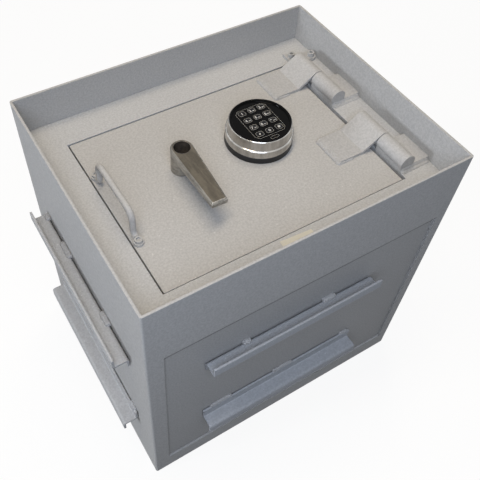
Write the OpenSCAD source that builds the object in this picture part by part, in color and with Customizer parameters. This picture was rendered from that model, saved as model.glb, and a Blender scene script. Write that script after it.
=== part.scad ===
// Under-floor safe: a plate box cast into a floor, with a hinged door at the
// bottom of a shallow tray. Origin at the middle of the base, +Z up, front
// towards -Y. The door is shut and its bolts are drawn back.

/* [Body] */
// Outer width, left to right
body_w = 450; // [430:1:520]
// Outer depth, front to back
body_d = 360; // [350:1:420]
// Height from the base to the rim
body_h = 463; // [300:1:600]
// Thickness of the wall plate
plate_t = 3.2; // [2:0.1:4]
// Thickness of the bottom plate
bottom_t = 4; // [3:0.5:8]
// Outer radius of the folded corners
corner_r = 3; // [1:0.5:4]
// Width of the left band beside the front and back recess
band_left = 23; // [12:1:40]
// Width of the right band beside the recess
band_right = 18; // [12:1:40]
// Height of the band below the recess
band_bottom = 33; // [15:1:80]
// Height of the band above the recess
band_top = 106; // [70:1:150]

/* [Tray] */
// Depth of the tray below the rim
tray_depth = 54.5; // [50:0.5:80]
// Thickness of the tray floor
floor_t = 6; // [4:0.5:8]
// Tray floor left of the door opening
tray_left = 44.2; // [35:0.1:60]
// Tray floor right of the door opening
tray_right = 47.8; // [46:0.1:60]
// Tray floor in front of the door opening
tray_front = 41.3; // [30:0.1:55]
// Tray floor behind the door opening
tray_back = 49.3; // [45:0.1:65]
// Thickness of the door ledge
ledge_t = 6; // [4:0.5:10]
// How far the ledge reaches under the door
ledge_reach = 12; // [8:0.5:14]
// How far the ledge reaches under the hinge edge
ledge_hinge_reach = 10.5; // [8.5:0.5:12.5]
// Width of the ledge's foot outside the opening
ledge_foot = 18; // [10:0.5:24]

/* [Anchor bars] */
// Length of each bar
anchor_len = 260; // [160:1:300]
// Depth of the bar's section
anchor_depth = 22.2; // [15:0.1:30]
// Height of each leg of the section
anchor_leg = 19; // [12:0.5:30]
// Thickness of the bar
anchor_t = 3; // [2:0.5:5]
// Gap between the bar and the wall
anchor_gap = 1.3; // [0.8:0.1:3]
// Height of the lower bars' shelf
anchor_low = 121; // [60:1:160]
// Height of the upper shelf at the front and back
anchor_front_high = 286; // [200:1:320]
// Height of the upper shelf at the sides
anchor_side_high = 299.5; // [200:0.5:330]
// Place of the front and back bars along the wall
anchor_front_shift = -15.5; // [-30:0.5:30]
// Place of the side bars along the wall
anchor_side_shift = -4.5; // [-20:0.5:20]
// Leg length of the weld beads
weld_leg = 2.6; // [1.5:0.1:3]

/* [Door] */
// Thickness of the door plate
door_t = 12; // [10:0.5:16]
// Gap between the door and the opening in front
front_door_gap = 0.8; // [0.5:0.1:2]
// Gap between the door and the opening at the back
rear_door_gap = 2.4; // [0.8:0.1:3]
// Gap round the door on the hinge side
hinge_door_gap = 5.4; // [4:0.1:7]
// Gap left at the free edge as it swings past
swing_gap = 1.4; // [0.5:0.1:2]
// Gap between the door and its ledge
seat_gap = 0.5; // [0.3:0.1:1]

/* [Hinges] */
// Radius of the barrels and knuckles
knuckle_r = 11.3; // [10:0.1:13]
// Radius of the hinge pins
pin_r = 6.5; // [4:0.1:7]
// Length of each barrel and each knuckle
barrel_len = 48.5; // [30:0.5:50]
// Gap between a barrel and its knuckle
knuckle_gap = 1; // [0.5:0.1:2]
// Thickness of the fixed leaf under each barrel
leaf_t = 6; // [3:0.5:7]
// Height of the knuckles above the tray floor
hinge_lift = 0.4; // [0.3:0.1:1]
// Hinge axis outside the opening's edge
hinge_set = 10; // [9:0.1:14]
// Thickness of the straps
strap_t = 4; // [3:0.5:6]
// Reach of the straps from the hinge axis
strap_reach = 67; // [50:1:80]
// Reach of the sloping weld at the end of the straps
strap_weld = 6; // [3:0.5:8]
// Rise of the strap starts this far from the axis
strap_bend = 32; // [26:1:40]
// Front hinge behind the opening's front edge
hinge_front = 61; // [55:0.5:75]
// Rear hinge in front of the opening's rear edge
hinge_rear = 58; // [55:0.5:75]
// End wall of the barrels, and recess of the pins at their other end
pin_inset = 3; // [1:0.5:6]
// Width of the keeper bar
keeper_w = 15; // [12:0.5:18]
// Length of the keeper bar
keeper_len = 46; // [40:1:50]
// Thickness of the keeper bar
keeper_t = 4.5; // [3:0.5:8]
// Turn of the keeper bar
keeper_turn = -22; // [-30:1:-10]

/* [Grab handle] */
// Radius of the rod
rod_r = 4; // [3:0.5:5]
// Height of the bar's centre above the door
grab_h = 39.5; // [30:0.5:45]
// Distance between the legs
grab_pitch = 90.6; // [80:0.2:120]
// Radius of the upper bends
grab_bend = 13; // [8:0.5:18]
// Distance from a leg to the eye beside it
eye_out = 13; // [9:0.5:16]
// Radius of the flattened eyes
eye_r = 6.5; // [6:0.5:9]
// Thickness of the eyes
eye_t = 4; // [3:0.5:6]
// Bar's distance from the door's free edge
grab_inset = 7.1; // [7:0.1:12]
// Middle of the handle from the door's centre
grab_shift = 2.7; // [-10:0.1:10]

/* [Lever] */
// Lever axis from the door's centre, along X
lever_x = -63.5; // [-70:0.1:-60]
// Lever axis from the door's centre, along Y
lever_y = 23; // [10:0.5:30]
// Radius of the hub
hub_r = 14.6; // [13:0.1:18]
// Height of the hub above the door
hub_h = 37.6; // [30:0.1:42]
// Length of the arm from the axis to its tip
arm_len = 97.4; // [70:0.1:100]
// Width of the arm at its tip
arm_tip_w = 20.9; // [14:0.1:28]
// Thickness of the arm at the hub
arm_root_t = 11; // [8:0.5:13]
// Thickness of the arm at the tip
arm_tip_t = 7.6; // [5:0.1:10]
// Chamfer along the arm's upper edges
arm_chamfer = 2; // [0.5:0.1:3]
// Radius of the recess in the hub
hub_bore_r = 10.8; // [8:0.1:11.5]
// Depth of the recess in the hub
hub_bore_depth = 24; // [12:0.5:26]
// Direction of the arm with the bolts drawn back
lever_dir = -92.6; // [-100:0.1:-85]
// Turn of the lever
lever_range = 60; // [40:1:70]
// Radius of the spindle
spindle_r = 8; // [6:0.5:9]

/* [Keypad] */
// Keypad axis from the door's centre, along X
keypad_x = 50.8; // [48:0.1:56]
// Keypad axis from the door's centre, along Y
keypad_y = 20; // [10:0.5:30]
// Radius of the black base
base_r = 45.3; // [44:0.1:50]
// Height of the black base
base_h = 9; // [6:0.5:12]
// Radius of the wide band of the ring
band_r = 45; // [43.5:0.1:48]
// Height of the step above the door
step_h = 20; // [15:0.5:24]
// Radius of the narrow band of the ring
ring_r = 41.7; // [41:0.1:43]
// Height of the ring above the door
ring_h = 34; // [30:0.5:38]
// Radius of the glossy face
face_r = 40.7; // [40:0.1:41.5]
// Growth of the narrow band's radius towards the step
ring_taper = 1.6; // [0.5:0.1:2]
// Edge height of the face
face_edge = 1; // [0.5:0.1:2]
// Depth of the dish in the face
face_dish = 2; // [1:0.1:2.5]
// Width of a key
key_w = 11; // [9:0.1:12]
// Depth of a key
key_d = 9; // [7:0.1:11]
// Corner radius of a key
key_r = 3; // [1:0.1:3.5]
// Distance between the key columns
key_pitch_x = 14.7; // [14.5:0.1:15.5]
// Distance between the key rows
key_pitch_y = 14.1; // [13.5:0.1:14.5]
// Height of the keys above the face's panel
key_out = 0.9; // [0.8:0.1:2]
// Travel of a key
key_travel = 0.8; // [0.3:0.1:1]
// Gap round a key
key_gap = 0.35; // [0.2:0.05:0.6]

/* [Boltwork] */
// Radius of the locking bolts
bolt_r = 11; // [8:0.5:13]
// Outer bolts' axes inside the boltwork frame
bolt_edge = 37; // [34:1:50]
// Radius of the crank pin's circle
crank_r = 20; // [18:0.5:22]
// Radius of the crank pin
crank_pin_r = 5; // [4:0.5:6]
// Thickness of the carriage plate
carriage_t = 4; // [3:0.5:5]
// Depth of the boltwork frame below the door
frame_h = 44; // [44:0.5:60]
// Thickness of the frame's walls
frame_t = 4; // [3:0.5:6]
// Gap between the frame and the ledge
frame_gap = 2.5; // [1.5:0.5:5]
// Thickness of the cover
cover_t = 2; // [1:0.5:4]
// Thickness of the dead bar
dead_t = 12; // [8:0.5:16]
// Length of the dead bar
dead_len = 190; // [120:1:200]
// Width of the lock's body
lock_w = 80; // [60:1:84]
// Length of the lock's body
lock_len = 60; // [50:1:64]
// Height of the lock's body
lock_h = 20; // [18:0.5:20]
// Travel of the lock's bolt
lock_travel = 8; // [5:0.5:9]

/* [Fits] */
// Running clearance round the pins, spindle and bolts
run_gap = 0.06; // [0.02:0.01:0.1]
// Close clearance round pieces that are fixed in a hole
fix_gap = 0.03; // [0.01:0.01:0.1]
// Working clearance between sliding plates
slide_gap = 0.5; // [0.3:0.1:0.6]

/* [Hidden] */
$fn = 64;

in_x = body_w / 2 - plate_t;
in_y = body_d / 2 - plate_t;
floor_top = body_h - tray_depth;
floor_bot = floor_top - floor_t;

// The recess in the front and the back
win_l = -body_w / 2 + band_left;
win_r = body_w / 2 - band_right;
win_t = body_h - band_top;

// The door opening and the door in it
op_l = -in_x + tray_left;
op_r = in_x - tray_right;
op_f = -in_y + tray_front;
op_b = in_y - tray_back;
hx = op_r + hinge_set;
hz = floor_top + knuckle_r + hinge_lift;
door_bot = floor_top - door_t;
swing_rise = (pow(hz - door_bot, 2) - pow(hz - floor_top, 2)) / (2 * (hx - op_l));
door_l = op_l + swing_gap + swing_rise;
door_r = op_r - hinge_door_gap;
door_f = op_f + front_door_gap;
door_b = op_b - rear_door_gap;
mid_x = (door_l + door_r) / 2;
mid_y = (op_f + op_b) / 2;

// The ledge under the door
ledge_top = door_bot - seat_gap;
ledge_bot = ledge_top - ledge_t;

// Each hinge splits between its fixed barrel and its knuckle
front_split = op_f + hinge_front;
rear_split = op_b - hinge_rear;
keeper_x = hx + 15;
keeper_y = rear_split + knuckle_gap / 2 + barrel_len + 11.5;
keeper_hole = keeper_len / 2 - 8;

// Grab handle, lever and keypad on the door
gx = door_l + grab_inset;
gy = mid_y + grab_shift;
lx = mid_x + lever_x;
ly = mid_y + lever_y;
kx = mid_x + keypad_x;
ky = mid_y + keypad_y;
grab_eyes = [gy - grab_pitch / 2 - eye_out, gy + grab_pitch / 2 + eye_out];

// Screw sizes
m6_r = 3;
m6_head_r = 5;
m6_head_h = 6;
m6_low_head_h = 3.6;
m5_r = 2.5;
m5_head_r = 4.5;
m5_head_h = 3;
door_bite = door_t - 3.5;
cover_bite = 10;

// Levels inside the keypad, above the door
dish_z = ring_h + face_edge - face_dish;
dish_rim = 3.2;
dish_slope = 1.2;
face_z = dish_z - 1.2;
panel_z = dish_z + 0.3;
flange_t = 1;
key_z = face_z - 0.3 - flange_t;
board_t = 1.6;
board_z = key_z - key_travel - 0.2 - board_t;
ring_in = 38.5;
base_floor = 3;
battery = [48, 26, 17];
cable_r = 2.5;
cable_y = 14;

// Where parts below the door clear the ledge as the door swings
hinge_clear = norm([hinge_set + ledge_hinge_reach, hz - ledge_bot]);
free_clear = norm([hx - op_l - ledge_reach, hz - ledge_top]) - 0.6;

// Boltwork frame
cover_top = door_bot - frame_h;
frame_l = hx - sqrt(pow(free_clear, 2) - pow(hz - cover_top + cover_t, 2));
frame_r = hx - hinge_clear;
frame_f = op_f + ledge_reach + frame_gap;
frame_b = op_b - ledge_reach - frame_gap;
post_w = 14;
dead_top = hz - hinge_clear - 2.5;

// Bolts and their carriage
bolt_travel = 2 * crank_r * sin(lever_range / 2);
bolt_z = ledge_bot - 0.6 - bolt_r;
bolt_tip = frame_l - 1;
bolt_pitch = (frame_b - frame_f) / 2 - bolt_edge;
flange_w = 5;
flange_l = frame_l + frame_t + bolt_travel + 2;
flange_half = bolt_pitch + bolt_r + 4;
flange_up = bolt_r + 1;
plate_edge = 8;
ear_w = 2 * bolt_r;
neck_w = 2 * ear_w - 4;
plate_top = bolt_z - 3.4;
plate_bot = plate_top - carriage_t;
spigot_r = bolt_r - 5;
guide_r = 5;
guide_right = 37;
guide_back = 31;
guide_front = 59;
guides = [[lx + guide_right, ly + guide_back], [lx + guide_right, ly - guide_front]];

// Lock body and its bolt
lock_x = kx + 14;
lock_f = ky - lock_len / 2;
tab_t = 5;
lock_bolt_w = bolt_travel - tab_t - 2 * slide_gap;
lock_bolt_t = 8;
lock_bolt_z = door_bot - lock_h / 2 - lock_bolt_t / 2;
lock_bolt_len = 30;
tab_x = lock_x + lock_bolt_w / 2 + slide_gap;
lock_holes = [for (x = [-1, 1], y = [-1, 1])
    [lock_x + x * (lock_w / 2 - 8), ky + y * (lock_len / 2 - 8)]];

// Crank below the door
crank_top = plate_top + 8;
crank_dir = -90 + lever_range / 2;

// Inner radius of the bars' folds
fold_r = anchor_t / 2;

// Weld beads along each bar, as start and end from the bar's middle
front_high_welds = [[-73.5, -65.5], [51.5, 68.5]];
front_low_welds = [[-115.5, -83.5], [-8.5, 21.5], [115.5, 127.5]];
side_high_welds = [[-128.5, -120.5], [-71.5, -45.5], [54.5, 73.5]];
side_low_welds = [[-105, -78], [-12, 16], [111.5, 123.5]];

// A rectangle with round corners, centred
module rounded(w, d, r) {
    square([w - 2 * r, d], center = true);
    square([w, d - 2 * r], center = true);
    for (x = [-1, 1], y = [-1, 1])
        translate([x * (w / 2 - r), y * (d / 2 - r)])
            circle(r);
}

// A block between two corners
module block(a, b) {
    translate(a)
        cube(b - a);
}

// Socket head cap screw standing on z = 0
module cap_screw(r, head_r, head_h, len) {
    difference() {
        union() {
            cylinder(r = head_r, h = head_h);
            translate([0, 0, -len])
                cylinder(r = r, h = len + 0.5);
        }
        translate([0, 0, head_h * 0.45])
            cylinder(r = r * 0.95, h = head_h, $fn = 6);
    }
}

module outer_shell() {
    color("gainsboro")
        difference() {
            linear_extrude(body_h)
                rounded(body_w, body_d, corner_r);
            block([-in_x, -in_y, -1], [in_x, in_y, body_h + 1]);
            block([win_l, -body_d, band_bottom], [win_r, body_d, win_t]);
        }
}

// The plate behind the front bands, carrying the tray floor
module recess_panel() {
    block([-in_x, -in_y, bottom_t], [in_x, -in_y + plate_t, floor_bot]);
}

module front_panel() {
    color("gray")
        recess_panel();
}

module back_panel() {
    color("gray")
        mirror([0, 1, 0])
            recess_panel();
}

module bottom_plate() {
    color("gray")
        block([-in_x, -in_y, 0], [in_x, in_y, bottom_t]);
}

module tray_floor() {
    color("gainsboro")
        difference() {
            block([-in_x, -in_y, floor_bot], [in_x, in_y, floor_top]);
            block([op_l, op_f, floor_bot - 1], [op_r, op_b, floor_top + 1]);
            keeper_holes();
        }
}

// Rebate ring: a spacer under the tray floor and a flange that the door lies on
module door_ledge() {
    color("silver")
        difference() {
            block([op_l - ledge_foot, op_f - ledge_foot, ledge_bot],
                [op_r + ledge_foot, op_b + ledge_foot, floor_bot]);
            block([op_l, op_f, ledge_top], [op_r, op_b, floor_bot + 1]);
            block([op_l + ledge_reach, op_f + ledge_reach, ledge_bot - 1],
                [op_r - ledge_hinge_reach, op_b - ledge_reach, floor_bot + 1]);
        }
}

// Quarter ring of a fold, centred on the origin
module fold(turn) {
    rotate(turn)
        intersection() {
            difference() {
                circle(fold_r + anchor_t);
                circle(fold_r);
            }
            square(fold_r + anchor_t);
        }
}

// Section of an anchor bar: one leg up, a shelf, one leg down, folded from plate
module anchor_section(lip_up) {
    side = lip_up ? 1 : -1;
    far = anchor_depth / 2;
    turn_in = far - anchor_t - fold_r;
    translate([-anchor_gap - far, 0])
        scale([side, 1]) {
            translate([-turn_in, -anchor_t])
                square([2 * turn_in, anchor_t]);
            translate([-far, fold_r])
                square([anchor_t, anchor_leg - anchor_t - fold_r]);
            translate([far - anchor_t, anchor_t - anchor_leg])
                square([anchor_t, anchor_leg - 2 * anchor_t - fold_r]);
            translate([-turn_in, fold_r])
                fold(180);
            translate([turn_in, -anchor_t - fold_r])
                fold(0);
        }
}

// Turns children from the front wall to another wall
module at_wall(turn, dist) {
    rotate([0, 0, turn])
        translate([0, -dist, 0])
            children();
}

module anchor_bar(lip_up) {
    color("silver")
        rotate([90, 0, 90])
            linear_extrude(anchor_len, center = true)
                anchor_section(lip_up);
}

module front_upper_anchor() {
    at_wall(0, in_y)
        translate([anchor_front_shift, 0, anchor_front_high])
            anchor_bar(true);
}

module front_lower_anchor() {
    at_wall(0, in_y)
        translate([anchor_front_shift, 0, anchor_low])
            anchor_bar(false);
}

module back_upper_anchor() {
    at_wall(180, in_y)
        translate([-anchor_front_shift, 0, anchor_front_high])
            anchor_bar(true);
}

module back_lower_anchor() {
    at_wall(180, in_y)
        translate([-anchor_front_shift, 0, anchor_low])
            anchor_bar(false);
}

module left_upper_anchor() {
    at_wall(-90, body_w / 2)
        translate([-anchor_side_shift, 0, anchor_side_high])
            anchor_bar(true);
}

module left_lower_anchor() {
    at_wall(-90, body_w / 2)
        translate([-anchor_side_shift, 0, anchor_low])
            anchor_bar(false);
}

module right_upper_anchor() {
    at_wall(90, body_w / 2)
        translate([anchor_side_shift, 0, anchor_side_high])
            anchor_bar(true);
}

module right_lower_anchor() {
    at_wall(90, body_w / 2)
        translate([anchor_side_shift, 0, anchor_low])
            anchor_bar(false);
}

// Beads that bridge the gap along the top of a bar's inner edge
module beads(places, shelf, lip_up) {
    top = lip_up ? 0 : anchor_leg - anchor_t;
    over = weld_leg + (lip_up ? fold_r + anchor_t / 2 : 0);
    for (p = places)
        translate([p[0] * anchor_len / 260, 0, shelf])
            rotate([90, 0, 90])
                linear_extrude(p[1] - p[0])
                    difference() {
                        polygon([[0, top - 6], [0, top + weld_leg], [-anchor_gap - over, top],
                            [-anchor_gap - anchor_t / 2, top - 3], [-anchor_gap, top - 6]]);
                        anchor_section(lip_up);
                    }
}

module wall_beads(turn, dist, shift, high, high_welds, low_welds) {
    at_wall(turn, dist)
        translate([shift, 0, 0]) {
            beads(high_welds, high, true);
            beads(low_welds, anchor_low, false);
        }
}

module anchor_welds() {
    color("gray") {
        wall_beads(0, in_y, anchor_front_shift, anchor_front_high, front_high_welds, front_low_welds);
        wall_beads(180, in_y, -anchor_front_shift, anchor_front_high, front_high_welds, front_low_welds);
        wall_beads(-90, body_w / 2, -anchor_side_shift, anchor_side_high, side_high_welds, side_low_welds);
        wall_beads(90, body_w / 2, anchor_side_shift, anchor_side_high, side_high_welds, side_low_welds);
    }
}

// A round bar along +Y between two places
module along_y(x, z, y0, y1, r) {
    translate([x, y1, z])
        rotate([90, 0, 0])
            cylinder(r = r, h = y1 - y0);
}

// Fixed barrel in front of the split, closed at its front end, on a leaf to the wall
module fixed_barrel(split) {
    y1 = split - knuckle_gap / 2;
    y0 = y1 - barrel_len;
    color("gainsboro")
        difference() {
            union() {
                along_y(hx, hz, y0, y1, knuckle_r);
                block([op_r, y0, floor_top], [in_x, y1, floor_top + leaf_t]);
            }
            along_y(hx, hz, y0 + pin_inset, y1 + 1, pin_r + fix_gap);
        }
}

module front_hinge_barrel() {
    fixed_barrel(front_split);
}

module rear_hinge_barrel() {
    fixed_barrel(rear_split);
}

module hinge_pin(split) {
    reach = knuckle_gap / 2 + barrel_len - pin_inset;
    color("silver")
        along_y(hx, hz, split - reach, split + reach, pin_r);
}

module front_hinge_pin() {
    hinge_pin(front_split);
}

module rear_hinge_pin() {
    hinge_pin(rear_split);
}

// Side view of a strap: flat on the door, then rising to its rolled knuckle
module strap_profile() {
    bend = [hx - strap_bend, floor_top + strap_t];
    to_axis = [hx, hz] - bend;
    slope = atan2(to_axis[1], to_axis[0]) + asin(knuckle_r / norm(to_axis));
    run = sqrt(pow(norm(to_axis), 2) - pow(knuckle_r, 2));
    touch = bend + run * [cos(slope), sin(slope)];
    polygon([[hx - strap_reach - strap_weld, floor_top], bend + strap_t * [tan(slope / 2), -1],
        touch + strap_t * [sin(slope), -cos(slope)], touch, bend,
        [hx - strap_reach, floor_top + strap_t]]);
    translate([hx, hz])
        circle(knuckle_r);
}

module strap(split) {
    y0 = split + knuckle_gap / 2;
    wide = strap_reach + strap_weld + 2 * knuckle_r;
    color("gainsboro")
        difference() {
            intersection() {
                translate([0, y0 + barrel_len, 0])
                    rotate([90, 0, 0])
                        linear_extrude(barrel_len)
                            strap_profile();
                translate([hx - strap_reach - strap_weld + wide / 2, y0 + barrel_len / 2, floor_top - 5])
                    linear_extrude(barrel_len)
                        rounded(wide, barrel_len, 1);
            }
            along_y(hx, hz, y0 - 1, y0 + barrel_len + 1, pin_r + run_gap);
        }
}

module front_hinge_strap() {
    strap(front_split);
}

module rear_hinge_strap() {
    strap(rear_split);
}

module at_keeper() {
    translate([keeper_x, keeper_y, floor_top])
        rotate([0, 0, keeper_turn])
            children();
}

module keeper_holes() {
    at_keeper()
        for (x = [-keeper_hole, keeper_hole])
            translate([x, 0, -floor_t - 1])
                cylinder(r = m6_r + fix_gap, h = floor_t + keeper_t + 2);
}

// Bar that stops the door from sliding off its pins
module hinge_keeper() {
    color("gainsboro")
        difference() {
            at_keeper()
                linear_extrude(keeper_t) {
                    translate([-keeper_len / 2 - 5, -keeper_w / 2])
                        square([keeper_len - keeper_w / 2 + 5, keeper_w]);
                    translate([keeper_len / 2 - keeper_w / 2, 0])
                        circle(keeper_w / 2);
                }
            translate([keeper_x - keeper_len * 0.46 - keeper_w, keeper_y - keeper_len, floor_top - 1])
                cube([keeper_w, 2 * keeper_len, keeper_t + 2]);
            keeper_holes();
        }
}

module keeper_screws() {
    color("silver")
        at_keeper()
            for (x = [-keeper_hole, keeper_hole])
                translate([x, 0, keeper_t])
                    cap_screw(m6_r, m6_head_r, m6_head_h, keeper_t + floor_t);
}

module door_plate() {
    color("gainsboro")
        difference() {
            block([door_l, door_f, door_bot], [door_r, door_b, floor_top]);
            translate([lx, ly, door_bot - 1])
                cylinder(r = spindle_r + 4 + fix_gap, h = door_t + 2);
            translate([kx, ky + cable_y, door_bot - 1])
                cylinder(r = cable_r + 1.5, h = door_t + 2);
            for (y = grab_eyes)
                translate([gx, y, floor_top - door_bite])
                    cylinder(r = m6_r + fix_gap, h = door_bite + 1);
            for (p = lock_holes)
                translate([p[0], p[1], door_bot - 1])
                    cylinder(r = m5_r + fix_gap, h = 8);
        }
}

// Half of the rod handle, from the middle of the bar to one eye
module grab_half() {
    leg = grab_pitch / 2;
    low = eye_out * 0.6;
    rotate([-90, 0, 0])
        cylinder(r = rod_r, h = leg - grab_bend);
    translate([0, leg - grab_bend, -grab_bend])
        rotate([0, 90, 0])
            rotate([0, 0, 90])
                rotate_extrude(angle = 90)
                    translate([grab_bend, 0])
                        circle(rod_r);
    translate([0, leg, -grab_h + rod_r + low])
        cylinder(r = rod_r, h = grab_h - rod_r - low - grab_bend);
    translate([0, leg + low, -grab_h + rod_r + low])
        rotate([0, 90, 0])
            rotate([0, 0, -90])
                rotate_extrude(angle = 90)
                    translate([low, 0])
                        circle(rod_r);
    translate([0, leg + eye_out, -grab_h])
        cylinder(r = eye_r, h = eye_t);
    translate([-rod_r, leg + low - 1, -grab_h])
        cube([2 * rod_r, eye_out - low + 1, eye_t]);
}

module grab_handle() {
    color("silver")
        difference() {
            translate([gx, gy, floor_top + grab_h]) {
                grab_half();
                mirror([0, 1, 0])
                    grab_half();
            }
            for (y = grab_eyes)
                translate([gx, y, floor_top - 1]) {
                    cylinder(r = m6_r + fix_gap, h = eye_t + 2);
                    translate([0, 0, eye_t + 1])
                        cylinder(r = m6_head_r + 0.3, h = 10);
                }
        }
}

module handle_screws() {
    color("silver")
        for (y = grab_eyes)
            translate([gx, y, floor_top + eye_t])
                cap_screw(m6_r, m6_head_r, m6_low_head_h, eye_t + door_bite - 0.5);
}

module keypad_base() {
    color("black")
        translate([kx, ky, floor_top])
            difference() {
                union() {
                    rotate_extrude()
                        polygon([[0, 0], [base_r, 0], [base_r, base_h - 0.6], [base_r - 0.6, base_h],
                            [band_r - 4, base_h], [band_r - 4, base_floor], [0, base_floor]]);
                    for (a = [30, 150, 270])
                        rotate([0, 0, a])
                            translate([base_r - 12, 0, base_floor - 1])
                                cylinder(r = 2.5, h = board_z - base_floor + 1);
                }
                translate([0, cable_y, -1])
                    cylinder(r = cable_r + 1.5, h = base_floor + 2);
            }
}

module keypad_ring() {
    color("silver")
        translate([kx, ky, floor_top])
            rotate_extrude()
                polygon([[ring_in, base_h], [band_r, base_h], [band_r, step_h - 0.8],
                    [band_r - 0.8, step_h], [ring_r + ring_taper, step_h + 0.4],
                    [ring_r, ring_h - 0.7], [ring_r - 0.7, ring_h], [ring_in, ring_h]]);
}

// Places of the keys, by column and row
function key_place(col, row) = [kx + (col - 1) * key_pitch_x, ky + (1.5 - row) * key_pitch_y];

module keypad_face() {
    px = key_pitch_x + key_w / 2 + 3.2;
    py = 1.5 * key_pitch_y + key_d / 2 + 2.8;
    cut = 5;
    color("dimgray")
        difference() {
            union() {
                translate([kx, ky, floor_top])
                    rotate_extrude()
                        polygon(concat([[0, face_z], [ring_in - 0.3, face_z],
                            [ring_in - 0.3, ring_h], [face_r, ring_h], [face_r, ring_h + face_edge - 0.4],
                            [face_r - 0.4, ring_h + face_edge]],
                            [for (i = [0:6]) [face_r - dish_rim - dish_slope * (1 - cos(i * 15)),
                                dish_z + face_dish * (1 - sin(i * 15))]],
                            [[0, dish_z]]));
                translate([kx, ky, floor_top + dish_z - 0.5])
                    linear_extrude(panel_z - dish_z + 0.5)
                        polygon([[-px, -py + cut], [-px + cut, -py], [px - cut, -py], [px, -py + cut],
                            [px, py - cut], [px - cut, py], [-px + cut, py], [-px, py - cut]]);
                translate([kx, ky - py - 5, floor_top + dish_z - 0.5])
                    linear_extrude(panel_z - dish_z + 0.5) {
                        square([8, 5], center = true);
                        for (x = [-4, 4])
                            translate([x, 0])
                                circle(2.5);
                    }
            }
            for (col = [0:2], row = [0:3])
                translate([key_place(col, row)[0], key_place(col, row)[1], floor_top + face_z - 1])
                    linear_extrude(panel_z - face_z + 2)
                        rounded(key_w + 2 * key_gap, key_d + 2 * key_gap, key_r + key_gap);
        }
}

module keypad_board() {
    color("darkgreen")
        translate([kx, ky, floor_top + board_z])
            cylinder(r = ring_in - 1, h = board_t);
}

module keypad_battery() {
    color("dimgray")
        translate([kx - battery[0] / 2, ky - 21, floor_top + base_floor])
            cube(battery);
}

// One key: a cap through the face and a flange that holds it in
module key_cap(col, row) {
    color("black")
        translate([key_place(col, row)[0], key_place(col, row)[1], floor_top + key_z]) {
            linear_extrude(flange_t)
                rounded(key_w + 2, key_d + 2, key_r);
            linear_extrude(panel_z - key_z + key_out - 0.5)
                rounded(key_w, key_d, key_r);
            linear_extrude(panel_z - key_z + key_out)
                rounded(key_w - 1, key_d - 1, key_r - 0.5);
        }
}

module key_1() {
    key_cap(0, 0);
}

module key_2() {
    key_cap(1, 0);
}

module key_3() {
    key_cap(2, 0);
}

module key_4() {
    key_cap(0, 1);
}

module key_5() {
    key_cap(1, 1);
}

module key_6() {
    key_cap(2, 1);
}

module key_7() {
    key_cap(0, 2);
}

module key_8() {
    key_cap(1, 2);
}

module key_9() {
    key_cap(2, 2);
}

module key_star() {
    key_cap(0, 3);
}

module key_0() {
    key_cap(1, 3);
}

module key_hash() {
    key_cap(2, 3);
}

// Flanged bush in the door for the lever's spindle
module lever_bush() {
    color("goldenrod")
        translate([lx, ly, door_bot])
            difference() {
                union() {
                    cylinder(r = spindle_r + 4, h = door_t);
                    translate([0, 0, -1.5])
                        cylinder(r = spindle_r + 7, h = 1.5);
                }
                translate([0, 0, -2])
                    cylinder(r = spindle_r + run_gap, h = door_t + 4);
            }
}

// Arm of the lever along +X, with its upper edges chamfered
module lever_arm() {
    lean = atan((hub_r - arm_tip_w / 2) / arm_len);
    difference() {
        intersection() {
            linear_extrude(hub_h)
                polygon([[0, -hub_r], [arm_len, -arm_tip_w / 2], [arm_len, arm_tip_w / 2], [0, hub_r]]);
            translate([0, 2 * hub_r, 0])
                rotate([90, 0, 0])
                    linear_extrude(4 * hub_r)
                        polygon([[0, hub_h - arm_root_t], [arm_len, hub_h - arm_tip_t],
                            [arm_len, hub_h], [0, hub_h]]);
        }
        for (side = [0, 1])
            mirror([0, side, 0])
                translate([0, hub_r, hub_h])
                    rotate([0, 0, -lean])
                        rotate([90, 0, 90])
                            linear_extrude(arm_len + 5)
                                edge_cut();
        translate([arm_len, -hub_r, hub_h])
            rotate([90, 0, 180])
                linear_extrude(2 * hub_r)
                    mirror([1, 0])
                        edge_cut();
    }
}

// Outline that cuts a chamfer off an edge at the origin
module edge_cut() {
    polygon([[-arm_chamfer, 0], [0, -arm_chamfer], [2, -arm_chamfer], [2, 2], [-arm_chamfer, 2]]);
}

module lever_handle() {
    seat = hub_h - hub_bore_depth;
    color("dimgray")
        translate([lx, ly, floor_top])
            rotate([0, 0, lever_dir])
                difference() {
                    union() {
                        rotate_extrude()
                            polygon([[0, 0.6], [hub_r, 0.6], [hub_r, hub_h - arm_chamfer],
                                [hub_r - arm_chamfer, hub_h], [0, hub_h]]);
                        lever_arm();
                    }
                    translate([0, 0, seat])
                        cylinder(r = hub_bore_r, h = hub_bore_depth + 1);
                    translate([0, 0, -1])
                        cylinder(r = spindle_r + fix_gap, h = seat + 2);
                }
}

module lever_spindle() {
    color("silver")
        translate([lx, ly, crank_top - 6])
            difference() {
                cylinder(r = spindle_r, h = floor_top - crank_top + 6 + hub_h - hub_bore_depth);
                translate([0, 0, floor_top - crank_top + 6 + hub_h - hub_bore_depth - 13])
                    cylinder(r = m6_r + fix_gap, h = 14);
            }
}

// Screw and washer that hold the lever on its spindle
module lever_screw() {
    color("silver")
        translate([lx, ly, floor_top + hub_h - hub_bore_depth]) {
            translate([0, 0, 1.5])
                cap_screw(m6_r, m6_head_r, m6_head_h, 13);
            difference() {
                cylinder(r = hub_bore_r - 0.8, h = 1.5);
                translate([0, 0, -1])
                    cylinder(r = m6_r / 2, h = 2);
            }
        }
}

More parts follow.
